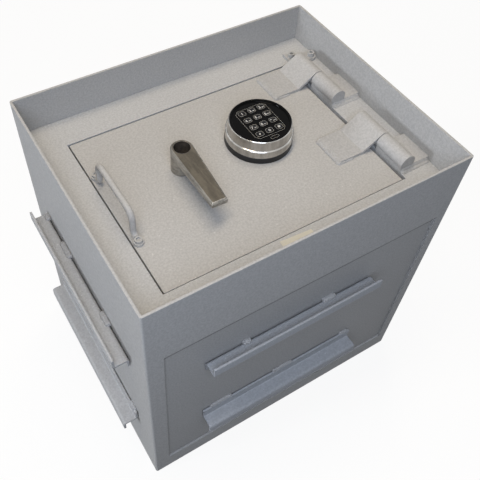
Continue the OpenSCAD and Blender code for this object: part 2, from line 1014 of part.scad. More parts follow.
// Disc on the spindle with the pin that drives the carriage
module crank() {
    disc_r = crank_r + crank_pin_r + 2;
    color("silver")
        translate([lx, ly, 0])
            difference() {
                union() {
                    translate([0, 0, crank_top - 6])
                        cylinder(r = disc_r, h = 6);
                    translate([0, 0, crank_top - 1])
                        cylinder(r = spindle_r + 5, h = door_bot - 1.9 - crank_top + 1);
                    rotate([0, 0, crank_dir])
                        translate([crank_r, 0, plate_bot - 2])
                            cylinder(r = crank_pin_r, h = crank_top - plate_bot);
                }
                translate([0, 0, crank_top - 7])
                    cylinder(r = spindle_r + fix_gap, h = door_bot - crank_top + 8);
            }
}

// Slot along X that a guide stud keeps as the carriage moves to the left
module guide_slot(p) {
    translate([p[0], p[1], plate_bot - 1])
        linear_extrude(carriage_t + 2) {
            translate([0, -guide_r - run_gap])
                square([bolt_travel, 2 * (guide_r + run_gap)]);
            for (x = [0, bolt_travel])
                translate([x, 0])
                    circle(guide_r + run_gap);
        }
}

module bolt_carriage() {
    arm_f = lock_f - 26;
    arm_b = lock_f - 1.5;
    right = guides[0][0] + bolt_travel + guide_r + plate_edge;
    back = guides[0][1] + guide_r + plate_edge;
    front = guides[1][1] - guide_r - plate_edge;
    pin_y0 = ly - crank_r - crank_pin_r - slide_gap;
    pin_y1 = ly - crank_r * cos(lever_range / 2) + crank_pin_r + slide_gap;
    pin_x = lx + bolt_travel / 2;
    color("silver")
        difference() {
            union() {
                block([flange_l, mid_y - flange_half, bolt_z - flange_up],
                    [flange_l + flange_w, mid_y + flange_half, bolt_z + flange_up]);
                translate([0, 0, plate_bot])
                    linear_extrude(carriage_t)
                        polygon([[flange_l + 1, mid_y - flange_half], [flange_l + ear_w, mid_y - flange_half],
                            [flange_l + neck_w, front], [right, front], [right, arm_f],
                            [tab_x + tab_t, arm_f], [tab_x + tab_t, arm_b], [right, arm_b],
                            [right, back], [flange_l + neck_w, back],
                            [flange_l + ear_w, mid_y + flange_half], [flange_l + 1, mid_y + flange_half]]);
                block([tab_x, lock_f - 12, plate_top - 1],
                    [tab_x + tab_t, arm_b, lock_bolt_z + lock_bolt_t + 1]);
            }
            for (y = [-bolt_pitch, 0, bolt_pitch])
                translate([flange_l - 1, mid_y + y, bolt_z])
                    rotate([0, 90, 0]) {
                        cylinder(r = spigot_r + fix_gap, h = flange_w + 2);
                        translate([0, 0, flange_w + 1])
                            cylinder(r = spigot_r + 2 + slide_gap, h = 3 + slide_gap);
                    }
            block([pin_x - crank_pin_r - slide_gap, pin_y0, plate_bot - 1],
                [pin_x + crank_pin_r + slide_gap, pin_y1, plate_top + 1]);
            for (p = guides)
                guide_slot(p);
        }
}

// Round bolts, each with a chamfered tip and a spigot through the carriage
module locking_bolts() {
    color("silver")
        for (y = [-bolt_pitch, 0, bolt_pitch])
            translate([bolt_tip, mid_y + y, bolt_z])
                rotate([0, 90, 0]) {
                    cylinder(r1 = bolt_r - 1.5, r2 = bolt_r, h = 1.5);
                    translate([0, 0, 1.5])
                        cylinder(r = bolt_r, h = flange_l - bolt_tip - 1.5);
                    cylinder(r = spigot_r, h = flange_l - bolt_tip + flange_w + 2);
                    translate([0, 0, flange_l - bolt_tip + flange_w])
                        cylinder(r = spigot_r + 2, h = 3);
                }
}

// Shouldered studs that carry the carriage plate
module carriage_guides() {
    color("silver")
        for (p = guides)
            translate([p[0], p[1], 0]) {
                translate([0, 0, plate_top + slide_gap])
                    cylinder(r = guide_r + 2.5, h = door_bot - plate_top - slide_gap);
                translate([0, 0, plate_bot - slide_gap - 1])
                    cylinder(r = guide_r, h = carriage_t + 2 * slide_gap + 2);
                translate([0, 0, plate_bot - slide_gap - 2.5])
                    cylinder(r = guide_r + 3, h = 2.5);
            }
}

module lock_body() {
    color("dimgray")
        difference() {
            block([lock_x - lock_w / 2, lock_f, door_bot - lock_h],
                [lock_x + lock_w / 2, lock_f + lock_len, door_bot]);
            block([lock_x - lock_bolt_w / 2 - 0.2, lock_f - 1, lock_bolt_z - 0.2],
                [lock_x + lock_bolt_w / 2 + 0.2, lock_f + lock_bolt_len + 0.3,
                lock_bolt_z + lock_bolt_t + 0.2]);
            for (p = lock_holes)
                translate([p[0], p[1], door_bot - lock_h - 1])
                    cylinder(r = m5_r + fix_gap, h = lock_h + 2);
        }
}

module lock_screws() {
    color("silver")
        for (p = lock_holes)
            translate([p[0], p[1], door_bot - lock_h])
                mirror([0, 0, 1])
                    cap_screw(m5_r, m5_head_r, m5_head_h, lock_h + 6);
}

module lock_bolt() {
    color("goldenrod")
        block([lock_x - lock_bolt_w / 2, lock_f - 0.5, lock_bolt_z],
            [lock_x + lock_bolt_w / 2, lock_f + lock_bolt_len, lock_bolt_z + lock_bolt_t]);
}

// Cable from the lock to the keypad's board
module lock_cable() {
    color("black")
        translate([kx, ky + cable_y, door_bot])
            cylinder(r = cable_r, h = door_t + board_z);
}

// Four walls welded under the door, with a post in each corner
module boltwork_frame() {
    color("silver")
        difference() {
            block([frame_l, frame_f, cover_top], [frame_r, frame_b, door_bot]);
            difference() {
                block([frame_l + frame_t, frame_f + frame_t, cover_top - 1],
                    [frame_r - frame_t, frame_b - frame_t, door_bot + 1]);
                for (p = cover_holes())
                    block([p[0] - post_w / 2, p[1] - post_w / 2, cover_top - 2],
                        [p[0] + post_w / 2, p[1] + post_w / 2, door_bot + 2]);
            }
            for (y = [-bolt_pitch, 0, bolt_pitch])
                translate([frame_l - 1, mid_y + y, bolt_z])
                    rotate([0, 90, 0])
                        cylinder(r = bolt_r + run_gap, h = frame_t + 2);
            for (p = cover_holes())
                translate([p[0], p[1], cover_top - 1])
                    cylinder(r = m5_r + fix_gap, h = cover_bite + 3);
        }
}

function cover_holes() = [for (x = [frame_l + frame_t + post_w / 2, frame_r - frame_t - post_w / 2],
    y = [frame_f + frame_t + post_w / 2, frame_b - frame_t - post_w / 2]) [x, y]];

module boltwork_cover() {
    color("gainsboro")
        difference() {
            block([frame_l, frame_f, cover_top - cover_t], [frame_r, frame_b, cover_top]);
            for (p = cover_holes())
                translate([p[0], p[1], cover_top - cover_t - 1])
                    cylinder(r = m5_r + fix_gap, h = cover_t + 2);
        }
}

module cover_screws() {
    color("silver")
        for (p = cover_holes())
            translate([p[0], p[1], cover_top - cover_t])
                mirror([0, 0, 1])
                    cap_screw(m5_r, m5_head_r, m5_head_h, cover_t + cover_bite);
}

// Fixed bar that lies under the ledge on the hinge side
module dead_bar() {
    color("silver")
        block([frame_r, mid_y - dead_len / 2, dead_top - dead_t],
            [hx, mid_y + dead_len / 2, dead_top]);
}

outer_shell();
front_panel();
back_panel();
bottom_plate();
tray_floor();
door_ledge();
front_upper_anchor();
front_lower_anchor();
back_upper_anchor();
back_lower_anchor();
left_upper_anchor();
left_lower_anchor();
right_upper_anchor();
right_lower_anchor();
anchor_welds();
front_hinge_barrel();
rear_hinge_barrel();
front_hinge_pin();
rear_hinge_pin();
hinge_keeper();
keeper_screws();
door_plate();
front_hinge_strap();
rear_hinge_strap();
grab_handle();
handle_screws();
keypad_base();
keypad_ring();
keypad_face();
keypad_board();
keypad_battery();
lock_body();
lock_screws();
lock_cable();
boltwork_frame();
boltwork_cover();
cover_screws();
dead_bar();
carriage_guides();
lever_bush();
lever_handle();
lever_spindle();
lever_screw();
crank();
bolt_carriage();
locking_bolts();
lock_bolt();
key_1();
key_2();
key_3();
key_4();
key_5();
key_6();
key_7();
key_8();
key_9();
key_star();
key_0();
key_hash();
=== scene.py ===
import math
import random
import bmesh
import bpy
from mathutils import Matrix, Vector


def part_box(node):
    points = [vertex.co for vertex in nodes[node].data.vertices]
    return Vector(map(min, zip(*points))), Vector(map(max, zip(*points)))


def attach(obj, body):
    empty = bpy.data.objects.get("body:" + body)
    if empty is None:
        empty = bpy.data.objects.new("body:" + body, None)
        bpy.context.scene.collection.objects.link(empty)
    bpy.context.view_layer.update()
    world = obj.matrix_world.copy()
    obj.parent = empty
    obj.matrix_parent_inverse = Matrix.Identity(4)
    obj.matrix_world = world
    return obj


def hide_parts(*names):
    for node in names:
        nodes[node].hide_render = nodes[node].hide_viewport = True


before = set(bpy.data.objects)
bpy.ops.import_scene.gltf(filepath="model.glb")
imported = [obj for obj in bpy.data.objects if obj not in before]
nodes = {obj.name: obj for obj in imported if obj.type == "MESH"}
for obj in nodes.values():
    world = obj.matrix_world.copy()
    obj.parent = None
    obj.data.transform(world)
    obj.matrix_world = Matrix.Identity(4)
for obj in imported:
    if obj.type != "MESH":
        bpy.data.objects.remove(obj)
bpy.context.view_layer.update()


# The studio floor, a pale sheet that the safe stands on.
# It shows near white to the camera and in gloss, and keeps the safe's soft shadow.
class Shade:
    """A socket in a material's nodes, so that shader maths reads as plain sums."""

    def __init__(self, tree, socket=None):
        self.tree = tree
        self.socket = socket

    def make(self, kind, values=(), out=0, **settings):
        """Adds one node: its settings first, then the values or links of its sockets."""
        node = self.tree.nodes.new(kind)
        for name, value in settings.items():
            setattr(node, name, value)
        for name, value in dict(values).items():
            if isinstance(value, Shade):
                self.tree.links.new(value.socket, node.inputs[name])
            else:
                node.inputs[name].default_value = value
        return Shade(self.tree, node.outputs[out])

    def maths(self, operation, first, second):
        """Any operation of the Math node on two numbers or sockets."""
        return self.make("ShaderNodeMath", {0: first, 1: second}, operation=operation)

    def __add__(self, other): return self.maths("ADD", self, other)
    def __radd__(self, other): return self.maths("ADD", other, self)
    def __sub__(self, other): return self.maths("SUBTRACT", self, other)
    def __rsub__(self, other): return self.maths("SUBTRACT", other, self)
    def __mul__(self, other): return self.maths("MULTIPLY", self, other)
    def __rmul__(self, other): return self.maths("MULTIPLY", other, self)

    def rise(self, low, high):
        """Runs from 0 at low to 1 at high, with soft ends."""
        return self.make("ShaderNodeMapRange", {"Value": self, "From Min": low, "From Max": high},
                         interpolation_type="SMOOTHSTEP")

    def noise(self, size, detail=2.0, rough=0.5, place=None):
        """Noise with features of that size in metres."""
        where = place or self.place()
        return self.make("ShaderNodeTexNoise", {"Vector": where, "Scale": 1.0 / size,
                                                "Detail": detail, "Roughness": rough})

    def place(self, scale=(1.0, 1.0, 1.0), turn=(0.0, 0.0, 0.0)):
        """Object coordinates, stretched and turned."""
        where = self.make("ShaderNodeTexCoord", out="Object")
        return self.make("ShaderNodeMapping", {"Vector": where, "Rotation": turn, "Scale": scale})

    def coordinate(self, axis):
        """One of the three object coordinates."""
        return self.make("ShaderNodeSeparateXYZ", {"Vector": self.place()}, out=axis)

    def tint(self, how_much, first, second, blend="MIX"):
        """Mixes two colours."""
        return self.make("ShaderNodeMix",
                         {"Factor": how_much, 6: self.opaque(first), 7: self.opaque(second)},
                         out=2, data_type="RGBA", blend_type=blend)

    def shaded(self, colour, level):
        """A colour made lighter or darker by a level near 1."""
        grey = self.make("ShaderNodeCombineColor", {0: level, 1: level, 2: level})
        return self.tint(1.0, colour, grey, "MULTIPLY")

    @staticmethod
    def opaque(colour):
        """A plain colour with its fourth number, or a socket as it is."""
        return colour if isinstance(colour, Shade) else (*colour, 1.0)

    def bump(self, height, depth, radius):
        """A bumpy normal on edges that are rounded by that radius."""
        edges = self.make("ShaderNodeBevel", {"Radius": radius}, samples=6)
        return self.make("ShaderNodeBump", {"Height": height, "Distance": depth, "Strength": 1.0,
                                            "Normal": edges})


def blank_material(name):
    """A material with an empty node tree, and a call that ends it with its last shader."""
    material = bpy.data.materials.new(name)
    material.use_nodes = True
    tree = material.node_tree
    tree.nodes.clear()
    end = tree.nodes.new("ShaderNodeOutputMaterial")

    def finish(last):
        tree.links.new(last.socket, end.inputs["Surface"])
        return material

    return Shade(tree), finish


def seen_rays(shade):
    """1 for the rays of the camera, of gloss and of glass."""
    camera_rays = shade.make("ShaderNodeLightPath", out="Is Camera Ray")
    others = camera_rays.socket.node.outputs
    return (camera_rays + Shade(shade.tree, others["Is Glossy Ray"])
            + Shade(shade.tree, others["Is Transmission Ray"]))


floor_width, floor_drop = 9.0, 0.0002
floor_grey, glow_share = (0.07, 0.07, 0.07), 0.90
bpy.ops.object.select_all(action="DESELECT")
bpy.ops.mesh.primitive_plane_add(size=floor_width, location=(0, 0, -floor_drop))
floor = bpy.context.object
floor.name = "studio_floor"
s, finish = blank_material("studio_sheet")
seen = seen_rays(s)
matt = s.make("ShaderNodeBsdfDiffuse", {"Color": s.tint(seen, floor_grey, (1, 1, 1))})
glow = s.make("ShaderNodeEmission", {"Color": (1, 1, 1, 1), "Strength": 1.0})
sheet = finish(s.make("ShaderNodeMixShader", {0: seen * glow_share, 1: matt, 2: glow}))
floor.data.materials.append(sheet)

# The studio's light: a faint even sky, a long warm lamp overhead, a cool lamp low on
# the left, a cooler fill above the front, and a nearly neutral one low behind.
# The background is white only to the camera and in gloss.
sky_at_floor, sky_overhead, sky_strength = (0.24, 0.24, 0.25), (1.0, 1.0, 1.04), 0.25
world = bpy.data.worlds.new("studio_sky")
bpy.context.scene.world = world
world.use_nodes = True
world.node_tree.nodes.clear()
s = Shade(world.node_tree)
height = s.make("ShaderNodeSeparateXYZ", {"Vector": s.make("ShaderNodeTexCoord", out="Generated")},
                out="Z")
fade = s.tint(height.maths("MAXIMUM", height, 0.0), sky_at_floor, sky_overhead)
sky = s.make("ShaderNodeBackground", {"Color": fade, "Strength": sky_strength})
white = s.make("ShaderNodeBackground", {"Color": (1, 1, 1, 1), "Strength": 1.0})
both = s.make("ShaderNodeMixShader", {0: seen_rays(s), 1: sky, 2: white})
end = world.node_tree.nodes.new("ShaderNodeOutputWorld")
world.node_tree.links.new(both.socket, end.inputs["Surface"])

lit_point = (0, 0, 0.4)


def soft_lamp(name, towards, distance, width, depth, watts, colour):
    """A wide lamp in that direction from the tray, turned to face it."""
    away = Vector(towards).normalized()
    lamp = bpy.data.lights.new(name, "AREA")
    lamp.shape = "RECTANGLE"
    lamp.size, lamp.size_y = width, depth
    lamp.energy = watts
    lamp.color = colour
    holder = bpy.data.objects.new(name, lamp)
    bpy.context.collection.objects.link(holder)
    holder.location = Vector(lit_point) + away * distance
    holder.rotation_euler = away.to_track_quat("Z", "Y").to_euler()


soft_lamp("ceiling_lamp", (-0.06, 0.13, 1.0), 2.4, 2.2, 0.44, 33.8, (1.0, 0.858, 0.656))
soft_lamp("window_lamp", (-1.0, 0.10, 0.165), 3.0, 0.5, 0.5, 34.7, (0.866, 0.919, 1.0))
soft_lamp("front_fill", (-0.60, -1.0, 1.05), 1.2, 0.8, 0.8, 8.05, (0.765, 0.848, 1.0))
soft_lamp("back_fill", (0.80, 1.0, -0.10), 2.6, 0.7, 0.7, 26.0, (1.0, 0.97, 0.93))

# The camera, above the front left corner, from where the whole safe shows.
# Its place, direction and lens were fitted to the corners of the box.
camera_place = (-0.3403, -0.4736, 1.0057)
right, up = (0.85632, -0.51528, 0.03452), (0.3877, 0.6856, 0.6161)
back = (-0.34114, -0.51421, 0.78690)
bpy.context.scene.view_settings.view_transform = "Standard"
view = bpy.data.cameras.new("photo_view")
view.sensor_fit = "HORIZONTAL"
view.sensor_width = 36.0
view.lens = 48.04
view.shift_x = 0.0546
view.shift_y = -0.0254
view.clip_start = 0.05
camera = bpy.data.objects.new("photo_view", view)
bpy.context.collection.objects.link(camera)
camera.matrix_world = Matrix((*zip(right, up, back, camera_place), (0, 0, 0, 1)))
bpy.context.scene.camera = camera


# The welded box: 3.2 mm walls, the recessed front and back plates, the base and
# the tray's floor. Mild steel, welded along the corners, then powder coated grey
# all over, which leaves a fine orange peel and softens every edge.
def toned(tone, level):
    """A tone made lighter or darker, and never past white."""
    return tuple(min(1.0, part * level) for part in tone)


def coated_steel(name, tone, peel=1.0, wear_and_sparkle=1.0, edge=0.0011, seam=None):
    """Grey powder coat on steel: orange peel, soft edges, faint clouds, rubs, and dust whose
    bright specks are partly painted sparkle.
    A seam is the height above which, and the place left of which, the coat is darkened as painted
    shadow under a band and painted shade along a recess's edge."""
    cloud_size, grain_size, rub_size, speck_size, dust_size = 0.11, 0.0026, 0.0625, 0.0045, 0.0031
    peel_size, fine_peel_size, peel_depth = 0.0032, 0.0012, 0.00042
    s, finish = blank_material(name)
    clouds = s.noise(cloud_size, 3.0, 0.55)
    grains = s.noise(grain_size, 2.0, 0.6).rise(0.32, 0.68)
    rubs = s.noise(rub_size, 4.0, 0.65, s.place((1.0, 9.0, 2.0), (0.4, 0.7, 0.5)))
    specks = s.noise(speck_size, 1.0, 0.5).rise(0.68, 0.80)
    # Bright specks of dust, partly painted sparkle where glints would catch the light.
    dust_and_painted_sparkle = s.noise(dust_size, 1.0, 0.5, s.place(turn=(0.3, 0.9, 0.2))).rise(0.70, 0.78)
    rubbed = rubs.rise(0.60, 0.74) * (0.12 * wear_and_sparkle)
    base = s.shaded(tone, 0.875 + 0.08 * clouds + 0.17 * grains)
    dirty = s.tint(specks * (0.12 * wear_and_sparkle), base, toned(tone, 0.62))
    dusty_and_sparkling = s.tint(dust_and_painted_sparkle * (0.35 * wear_and_sparkle), dirty, toned(tone, 1.5))
    coat = s.tint(rubbed, dusty_and_sparkling, toned(tone, 1.22))
    if seam:
        seam_top, seam_left = seam
        # Painted shadow just under the band's lower edge, and painted shade along the recess's
        # left edge.
        painted_shadow_under_band = s.coordinate("Z").rise(seam_top - 0.0008, seam_top)
        painted_shade_at_left = 1 - s.coordinate("X").rise(seam_left, seam_left + 0.0016)
        coat = s.tint(painted_shadow_under_band * 0.6 + painted_shade_at_left * 0.12, coat, toned(tone, 0.35))
    height = s.noise(peel_size, 1.5, 0.45) * 0.6 + s.noise(fine_peel_size, 1.0, 0.4) * 0.4
    return finish(s.make("ShaderNodeBsdfPrincipled", {
        "Base Color": coat, "Roughness": 0.58 + 0.10 * clouds - 0.20 * rubbed,
        "Normal": s.bump(height, peel_depth * peel, edge), "Specular IOR Level": 0.20}))


def dress(material, *names):
    """Gives CAD nodes their finish."""
    for name in names:
        mesh = nodes[name].data
        mesh.materials.clear()
        mesh.materials.append(material)


walls_coat = coated_steel("walls_powder_coat", (0.455, 0.452, 0.445))
# The front and back plates are painted a little darker than the walls, as painted shade for their
# dimmer light, and get a painted shadow under the band.
panel_top, panel_left = 0.3479, -0.1993
panel_coat_with_painted_shade = coated_steel("panels_coat_with_painted_shade", (0.42, 0.418, 0.412), peel=1.2,
                          seam=(panel_top, panel_left))
tray_coat = coated_steel("tray_powder_coat", (0.498, 0.502, 0.505))
dress(walls_coat, "outer_shell")
dress(tray_coat, "tray_floor", "door_ledge", "bottom_plate")
dress(panel_coat_with_painted_shade, "front_panel", "back_panel")

# The anchor bars: Z sections folded from 3 mm plate, which hold the box in the
# concrete. They are coated with the box; those at the front and back are painted a little cooler
# and darker, a painted shade for the cool light under the box's shadow.
side_bars_coat = coated_steel("side_bars_powder_coat", (0.47, 0.47, 0.47), peel=1.3, wear_and_sparkle=1.6)
# The front and back bars' cooler tone is painted shade.
end_bars_painted_cool_coat = coated_steel("end_bars_coat_painted_cool_shade", (0.428, 0.444, 0.468), peel=1.3, wear_and_sparkle=1.6)
for level in ("upper", "lower"):
    dress(side_bars_coat, f"left_{level}_anchor", f"right_{level}_anchor")
    dress(end_bars_painted_cool_coat, f"front_{level}_anchor", f"back_{level}_anchor")

# The stitch welds of the anchor bars: short hand-laid beads along each bar's inner
# edge, each a row of overlapping ripples that end in a small crater, under the coat.
weld_coat = coated_steel("weld_powder_coat", (0.44, 0.44, 0.44), wear_and_sparkle=1.6, edge=0.0004)
hand = random.Random(7)


def loose_boxes(name):
    """The lowest and highest corner of each separate solid in a CAD node."""
    mesh = bmesh.new()
    mesh.from_mesh(nodes[name].data)
    bmesh.ops.remove_doubles(mesh, verts=mesh.verts, dist=1e-6)
    left, boxes = set(mesh.verts), []
    while left:
        group, edge = [], [left.pop()]
        while edge:
            point = edge.pop()
            group.append(point.co.copy())
            for line in point.link_edges:
                other = line.other_vert(point)
                if other in left:
                    left.remove(other)
                    edge.append(other)
        boxes.append([[pick(p[i] for p in group) for i in range(3)] for pick in (min, max)])
    mesh.free()
    return sorted(boxes)


def ripple_lobe():
    """One ripple of a weld, laid along X: a flat drop that leans back over the last one."""
    front_from, front_length, flatness = 0.05, 0.72, 0.9
    bpy.ops.object.select_all(action="DESELECT")
    bpy.ops.mesh.primitive_uv_sphere_add(segments=14, ring_count=8, radius=1.0)
    lobe = bpy.context.object
    bpy.ops.object.mode_set(mode="EDIT")
    bpy.ops.mesh.select_all(action="DESELECT")
    drop = bmesh.from_edit_mesh(lobe.data)
    for point in drop.verts:
        point.select = point.co.x > front_from
    drop.select_flush_mode()
    bmesh.update_edit_mesh(lobe.data)
    bpy.ops.transform.resize(value=(front_length, 1.0, flatness), center_override=(0, 0, 0))
    bpy.ops.object.mode_set(mode="OBJECT")
    return lobe


def weld_row(start, end, radii, step):
    """Ripples from one point to another, a step apart; radii are along, across and up."""
    start, end = Vector(start), Vector(end)
    run = end - start
    count = max(2, round(run.length / step) + 1)
    shake, crater_size = 0.00015, 0.86
    row = []
    for number in range(count):
        lobe = bpy.data.objects.new("ripple", drop_mesh.copy())
        bpy.context.collection.objects.link(lobe)
        grow = (crater_size if number == count - 1 else 1.0) * hand.uniform(0.93, 1.07)
        slip = Vector([hand.uniform(-shake, shake) for _ in range(3)])
        lobe.location = start + run * (number / (count - 1)) + slip
        lobe.scale = [radius * grow for radius in radii]
        lobe.rotation_euler = (0.0, 0.0, math.atan2(run.y, run.x))
        row.append(lobe)
    return row


def fused(ripples, name, voxel, material, body):
    """Joins ripples into one closed skin and finishes it."""
    bpy.ops.object.select_all(action="DESELECT")
    for lobe in ripples:
        lobe.select_set(True)
    bpy.context.view_layer.objects.active = ripples[0]
    bpy.ops.object.join()
    bead = bpy.context.object
    bead.name = bead.data.name = name
    bpy.ops.object.transform_apply(location=True, rotation=True, scale=True)
    skin = bead.modifiers.new("skin", "REMESH")
    skin.mode = "VOXEL"
    skin.voxel_size = voxel
    calm = bead.modifiers.new("calm", "SMOOTH")
    calm.factor = 0.5
    calm.iterations = 2
    for modifier in ("skin", "calm"):
        bpy.ops.object.modifier_apply(modifier=modifier)
    bpy.ops.object.shade_smooth()
    bead.data.materials.clear()
    bead.data.materials.append(material)
    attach(bead, body)
    return bead


lobe = ripple_lobe()
drop_mesh = lobe.data
bpy.data.objects.remove(lobe)
side_wall, bead_step, bead_drop, bead_seat = 0.224, 0.0023, 0.0030, 0.32
ripple_length, ripple_height, bead_spread = 0.0031, 0.0044, 0.72
ripples = []
for low, high in loose_boxes("anchor_welds"):
    middle = [(a + b) / 2 for a, b in zip(low, high)]
    along, across = (1, 0) if abs(middle[0]) > side_wall else (0, 1)
    reach = high[across] - low[across]
    wall = max(abs(low[across]), abs(high[across])) - reach
    start, end = list(middle), list(middle)
    start[across] = end[across] = math.copysign(wall + bead_seat * reach, middle[across])
    start[2] = end[2] = high[2] - bead_drop
    start[along], end[along] = low[along], high[along]
    ripples += weld_row(start, end, (ripple_length, bead_spread * reach, ripple_height),
                        bead_step)
beads = fused(ripples, "anchor_weld_beads", 0.0005, weld_coat, "safe_body")
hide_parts("anchor_welds")

# The hinges: a solid barrel and a folded strap with its knuckle on each, with a
# bright pin through both. Each fixed barrel is welded to a leaf on the tray's floor,
# and each strap ends in a dressed weld across the door.
hinge_coat = coated_steel("hinges_powder_coat", (0.448, 0.444, 0.438), peel=0.7, edge=0.0008)
dress(hinge_coat, "front_hinge_barrel", "rear_hinge_barrel", "front_hinge_strap",
      "rear_hinge_strap", "hinge_keeper")
tray_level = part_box("tray_floor")[1][2]
opening_edge, knuckle_reach, pin_rise, leaf_thickness = 0.174, 0.0113, 0.0117, 0.006
weld_step, strap_weld_step, weld_voxel = 0.0024, 0.0026, 0.0004
wide_ripple, tall_ripple = (0.0040, 0.0064, 0.0028), (0.0040, 0.0030, 0.0056)
seat_ripple, end_ripple = (0.0026, 0.0022, 0.0020), (0.0032, 0.0048, 0.0040)
side_ripple = (0.0030, 0.0024, 0.0026)
seat_reach = math.sqrt(knuckle_reach ** 2 - (pin_rise - leaf_thickness) ** 2)
for place in ("front", "rear"):
    low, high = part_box(place + "_hinge_barrel")
    leaf_top = tray_level + leaf_thickness
    leaf_front = low[1] + 0.0004
    ripples = []
    for radii in (wide_ripple, tall_ripple):
        ripples += weld_row((opening_edge + 0.004, leaf_front, tray_level),
                            (high[0] - 0.002, leaf_front, tray_level), radii, weld_step)
    beside_barrel = low[0] + knuckle_reach + seat_reach + 0.0006
    ripples += weld_row((beside_barrel, low[1] + 0.003, leaf_top),
                        (beside_barrel, high[1] - 0.003, leaf_top), seat_ripple, weld_step)
    fused(ripples, place + "_leaf_weld", weld_voxel, hinge_coat, "safe_body")

    low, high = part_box(place + "_hinge_strap")
    strap_end, strap_front = low[0] + 0.0044, low[1] + 0.0002
    ripples = weld_row((strap_end, low[1] + 0.001, tray_level),
                       (strap_end, high[1] - 0.001, tray_level), end_ripple, strap_weld_step)
    ripples += weld_row((low[0] + 0.0040, strap_front, tray_level),
                        (low[0] + 0.0250, strap_front, tray_level), side_ripple,
                        strap_weld_step)
    fused(ripples, place + "_strap_weld", weld_voxel, hinge_coat, "door")


def bare_steel(name, tone, roughness, marks_along=None):
    """Bare or plated steel, with fine drawing marks along one axis where one is given."""
    mark_size, mark_depth, cloud_size, edge = 0.0045, 0.00004, 0.018, 0.0004
    s, finish = blank_material(name)
    scale = [1.0, 1.0, 1.0]
    if marks_along is not None:
        scale[marks_along] = 0.036
    marks = s.noise(mark_size, 3.0, 0.6, s.place(tuple(scale)))
    clouds = s.noise(cloud_size, 3.0, 0.6)
    return finish(s.make("ShaderNodeBsdfPrincipled", {
        "Base Color": s.shaded(tone, 0.90 + 0.10 * clouds + 0.10 * marks),
        "Roughness": roughness - 0.06 + 0.14 * clouds + 0.08 * marks,
        "Normal": s.bump(marks, mark_depth, edge), "Metallic": 1.0}))


pin_steel = bare_steel("pin_steel", (0.62, 0.62, 0.61), roughness=0.30, marks_along=1)
screws_coat = coated_steel("screws_coat", (0.44, 0.438, 0.43), peel=0.5, edge=0.0004)
dress(pin_steel, "front_hinge_pin", "rear_hinge_pin")
dress(screws_coat, "keeper_screws")

# The door: a 12 mm plate with the same coat as the box, and a grab handle bent from
# 8 mm rod with a flattened eye at each foot, held by a coated socket screw.
door_coat = coated_steel("door_powder_coat", (0.475, 0.468, 0.455), wear_and_sparkle=1.4)
handle_coat = coated_steel("handle_powder_coat", (0.475, 0.47, 0.46), peel=0.6, edge=0.0006)
dress(door_coat, "door_plate")
dress(handle_coat, "grab_handle")
dress(screws_coat, "handle_screws")

# The keypad: a black moulded base, a chromed ring turned in two steps, and a gloss
# black dished face with twelve keys, a circuit board and a battery inside.
chrome_tone, wave_depth, chrome_edge = (0.50, 0.487, 0.465), 0.0006, 0.00025
s, finish = blank_material("ring_chrome")
clouds = s.noise(0.012, 3.0, 0.6)
waves = s.noise(0.016, 1.0, 0.5)
# Lighter and darker streaks round the ring are painted reflection.
painted_reflection_streaks = s.noise(0.013, 3.0, 0.6, s.place((1.0, 1.0, 0.2))).rise(0.30, 0.70)
chrome = finish(s.make("ShaderNodeBsdfPrincipled", {
    "Base Color": s.shaded(chrome_tone, 0.76 + 0.48 * painted_reflection_streaks), "Metallic": 1.0,
    "Roughness": 0.07 + 0.10 * clouds, "Normal": s.bump(waves, wave_depth, chrome_edge)}))
dress(chrome, "keypad_ring")


def moulding(name, tone, roughness, grain=0.0, shine=0.5):
    """Moulded plastic; grain is the depth of its fine texture."""
    cloud_size, grain_size, edge = 0.02, 0.0007, 0.0004
    s, finish = blank_material(name)
    clouds = s.noise(cloud_size, 2.0, 0.5)
    return finish(s.make("ShaderNodeBsdfPrincipled", {
        "Base Color": s.shaded(tone, 0.92 + 0.16 * clouds),
        "Roughness": roughness - 0.03 + 0.06 * clouds,
        "Normal": s.bump(s.noise(grain_size, 1.0, 0.5), grain, edge),
        "Specular IOR Level": shine}))


base_plastic = moulding("base_plastic", (0.016, 0.016, 0.017), 0.42, grain=0.00004, shine=0.3)
face_plastic = moulding("face_plastic", (0.002, 0.002, 0.002), 0.09, shine=0.06)
dress(base_plastic, "keypad_base")
dress(face_plastic, "keypad_face")
dress(moulding("board_green", (0.02, 0.12, 0.05), 0.35), "keypad_board")
dress(moulding("battery_plastic", (0.05, 0.05, 0.055), 0.4), "keypad_battery")
dress(moulding("cable_plastic", (0.02, 0.02, 0.02), 0.5), "lock_cable")

# The keys: black caps, each with a pale printed line round its digit and letters, and
# the key field's printed outline with a bare oval below. The print is a thin worn ink.
keys = {"key_1": "1", "key_2": "2 ABC", "key_3": "3 DEF",
        "key_4": "4 GHI", "key_5": "5 JKL", "key_6": "6 MNO",
        "key_7": "7 PRS", "key_8": "8 TUV", "key_9": "9 WXY",
        "key_star": "*", "key_0": "0", "key_hash": "#"}
dress(moulding("key_plastic", (0.006, 0.006, 0.007), 0.22, shine=0.2), *keys)


def printed_ink(name, tone):
    """Thin pale ink, worn in places."""
    s, finish = blank_material(name)
    worn = s.noise(0.0016, 3.0, 0.6).rise(0.30, 0.62)
    return finish(s.make("ShaderNodeBsdfPrincipled", {
        "Base Color": s.tint(worn, toned(tone, 0.45), tone), "Roughness": 0.4 + 0.1 * worn,
        "Specular IOR Level": 0.3}))


line_ink = printed_ink("line_ink", (0.42, 0.41, 0.37))
digit_ink = printed_ink("digit_ink", (0.72, 0.71, 0.68))
ink_depth = 0.00004


